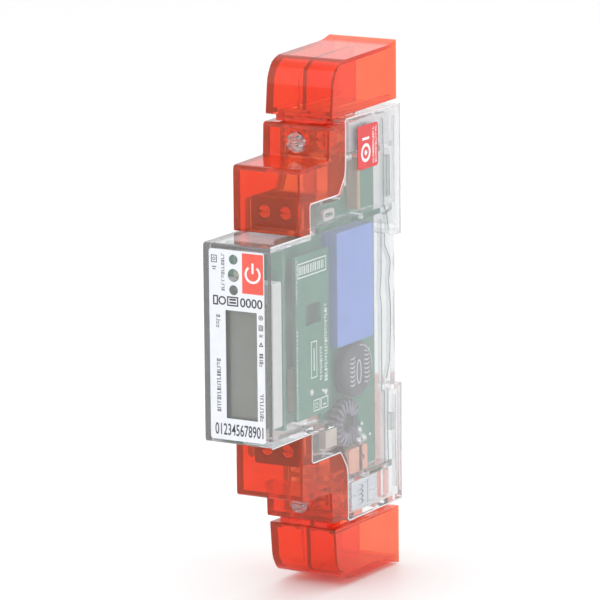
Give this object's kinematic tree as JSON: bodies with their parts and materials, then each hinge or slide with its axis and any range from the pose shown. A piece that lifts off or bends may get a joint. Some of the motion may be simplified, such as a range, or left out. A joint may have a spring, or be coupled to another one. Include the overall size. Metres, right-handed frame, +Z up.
{
  "type": "electricity meter",
  "caption": "Slim clear-bodied energy meter for a mounting rail: stepped front with display, clear red terminal covers and cable caps, clamp terminals, boards inside and a rail clip.",
  "frame": {"origin": "middle of the rail seat, on the flat face that rests against the mounting rail", "axes": "+Z up along the row of steps, -Y the way the display faces, +Y into the rail, +X to the display's right"},
  "size_m": [0.0177, 0.0601, 0.1246],
  "materials": {
    "clear_plastic": "clear, polished",
    "label_white": "satin printed film",
    "sticker_red": "satin film",
    "display_grey": "polished",
    "reflector_white": "matt",
    "board_green": "solder resist",
    "dark_lens": "polished",
    "light_lens": "polished",
    "header_tan": "matt",
    "black_resin": "matt",
    "lead_white": "satin sleeve",
    "capacitor_blue": "satin",
    "varistor_grey": "epoxy coat",
    "ferrite": "matt",
    "winding_copper": "enamelled wire",
    "resistor_beige": "matt, like ceramic",
    "bar_copper": "rolled",
    "bar_brass": "rolled",
    "red_plastic": "clear red, polished",
    "signal_green": "matt",
    "steel": "zinc plated"
  },
  "bodies": {
    "meter": {"housing_left_shell": "clear_plastic", "housing_right_shell": "clear_plastic", "front_label": "label_white", "side_sticker": "sticker_red", "display_glass": "display_grey", "display_reflector": "reflector_white", "display_board": "board_green", "main_board": "board_green", "interface_board": "board_green", "infrared_emitter": "dark_lens", "infrared_receiver": "dark_lens", "pulse_light": "light_lens", "display_header": "header_tan", "board_header": "header_tan", "metering_chip": "black_resin", "electrolytic_capacitor": "black_resin", "signal_lead": "lead_white", "film_capacitor": "capacitor_blue", "varistor_disc": "varistor_grey", "choke_core": "ferrite", "choke_winding": "winding_copper", "ceramic_resistor": "resistor_beige", "phase_bar": "bar_copper", "lower_neutral_bar": "bar_copper", "upper_neutral_bar": "bar_brass", "upper_signal_block": "signal_green", "lower_signal_block": "signal_green"},
    "upper_cover": {"upper_terminal_cover": "red_plastic"},
    "upper_cap": {"upper_cable_cap": "red_plastic"},
    "upper_seal": {"upper_seal_screw": "clear_plastic"},
    "upper_left_main_screw": {"upper_left_clamp_screw": "steel"},
    "upper_left_cage": {"upper_left_clamp": "steel"},
    "upper_left_small_screw": {"upper_left_signal_screw": "steel"},
    "upper_right_main_screw": {"upper_right_clamp_screw": "steel"},
    "upper_right_cage": {"upper_right_clamp": "steel"},
    "upper_right_small_screw": {"upper_right_signal_screw": "steel"},
    "lower_cover": {"lower_terminal_cover": "red_plastic"},
    "lower_cap": {"lower_cable_cap": "red_plastic"},
    "lower_seal": {"lower_seal_screw": "clear_plastic"},
    "lower_left_main_screw": {"lower_left_clamp_screw": "steel"},
    "lower_left_cage": {"lower_left_clamp": "steel"},
    "lower_left_small_screw": {"lower_left_signal_screw": "steel"},
    "lower_right_main_screw": {"lower_right_clamp_screw": "steel"},
    "lower_right_cage": {"lower_right_clamp": "steel"},
    "lower_right_small_screw": {"lower_right_signal_screw": "steel"},
    "clip": {"rail_clip": "red_plastic"}
  },
  "joints": [
    {"name": "upper_cover_slide", "type": "slide", "parent": "meter", "child": "upper_cover", "axis": [0, -1, 0], "range_m": [0, 0.02]},
    {"name": "upper_cap_slide", "type": "slide", "parent": "meter", "child": "upper_cap", "axis": [0, 0, 1], "range_m": [0, 0.02]},
    {"name": "upper_seal_turn", "type": "hinge", "parent": "meter", "child": "upper_seal", "pos_m": [0, -0.0303, 0.0423], "axis": [0, 1, 0], "range_deg": [0, 90]},
    {"name": "upper_left_main_screw_turn", "type": "hinge", "parent": "meter", "child": "upper_left_main_screw", "pos_m": [-0.0043, -0.0244, 0.0423], "axis": [0, 1, 0], "range_deg": [0, 720]},
    {"name": "upper_left_cage_slide", "type": "slide", "parent": "meter", "child": "upper_left_cage", "axis": [0, -1, 0], "range_m": [0, 0.0016]},
    {"name": "upper_left_signal_screw_turn", "type": "hinge", "parent": "meter", "child": "upper_left_small_screw", "pos_m": [-0.00275, -0.0395, 0.0277], "axis": [0, 1, 0], "range_deg": [0, 720]},
    {"name": "upper_right_main_screw_turn", "type": "hinge", "parent": "meter", "child": "upper_right_main_screw", "pos_m": [0.0043, -0.0244, 0.0423], "axis": [0, 1, 0], "range_deg": [0, 720]},
    {"name": "upper_right_cage_slide", "type": "slide", "parent": "meter", "child": "upper_right_cage", "axis": [0, -1, 0], "range_m": [0, 0.0016]},
    {"name": "upper_right_signal_screw_turn", "type": "hinge", "parent": "meter", "child": "upper_right_small_screw", "pos_m": [0.00275, -0.0395, 0.0277], "axis": [0, 1, 0], "range_deg": [0, 720]},
    {"name": "lower_cover_slide", "type": "slide", "parent": "meter", "child": "lower_cover", "axis": [0, -1, 0], "range_m": [0, 0.02]},
    {"name": "lower_cap_slide", "type": "slide", "parent": "meter", "child": "lower_cap", "axis": [0, 0, -1], "range_m": [0, 0.02]},
    {"name": "lower_seal_turn", "type": "hinge", "parent": "meter", "child": "lower_seal", "pos_m": [0, -0.0303, -0.0423], "axis": [0, 1, 0], "range_deg": [0, 90]},
    {"name": "lower_left_main_screw_turn", "type": "hinge", "parent": "meter", "child": "lower_left_main_screw", "pos_m": [-0.0043, -0.0244, -0.0423], "axis": [0, 1, 0], "range_deg": [0, 720]},
    {"name": "lower_left_cage_slide", "type": "slide", "parent": "meter", "child": "lower_left_cage", "axis": [0, -1, 0], "range_m": [0, 0.0016]},
    {"name": "lower_left_signal_screw_turn", "type": "hinge", "parent": "meter", "child": "lower_left_small_screw", "pos_m": [-0.00275, -0.0395, -0.0277], "axis": [0, 1, 0], "range_deg": [0, 720]},
    {"name": "lower_right_main_screw_turn", "type": "hinge", "parent": "meter", "child": "lower_right_main_screw", "pos_m": [0.0043, -0.0244, -0.0423], "axis": [0, 1, 0], "range_deg": [0, 720]},
    {"name": "lower_right_cage_slide", "type": "slide", "parent": "meter", "child": "lower_right_cage", "axis": [0, -1, 0], "range_m": [0, 0.0016]},
    {"name": "lower_right_signal_screw_turn", "type": "hinge", "parent": "meter", "child": "lower_right_small_screw", "pos_m": [0.00275, -0.0395, -0.0277], "axis": [0, 1, 0], "range_deg": [0, 720]},
    {"name": "rail_clip_slide", "type": "slide", "parent": "meter", "child": "clip", "axis": [0, 0, -1], "range_m": [0, 0.0035], "stiffness_N_per_m": 900}
  ],
  "couplings": [
    {"joint": "upper_left_main_screw_turn", "follows": "upper_left_cage_slide", "rad_per_m": 7854},
    {"joint": "upper_right_main_screw_turn", "follows": "upper_right_cage_slide", "rad_per_m": 7854},
    {"joint": "lower_left_main_screw_turn", "follows": "lower_left_cage_slide", "rad_per_m": 7854},
    {"joint": "lower_right_main_screw_turn", "follows": "lower_right_cage_slide", "rad_per_m": 7854}
  ]
}
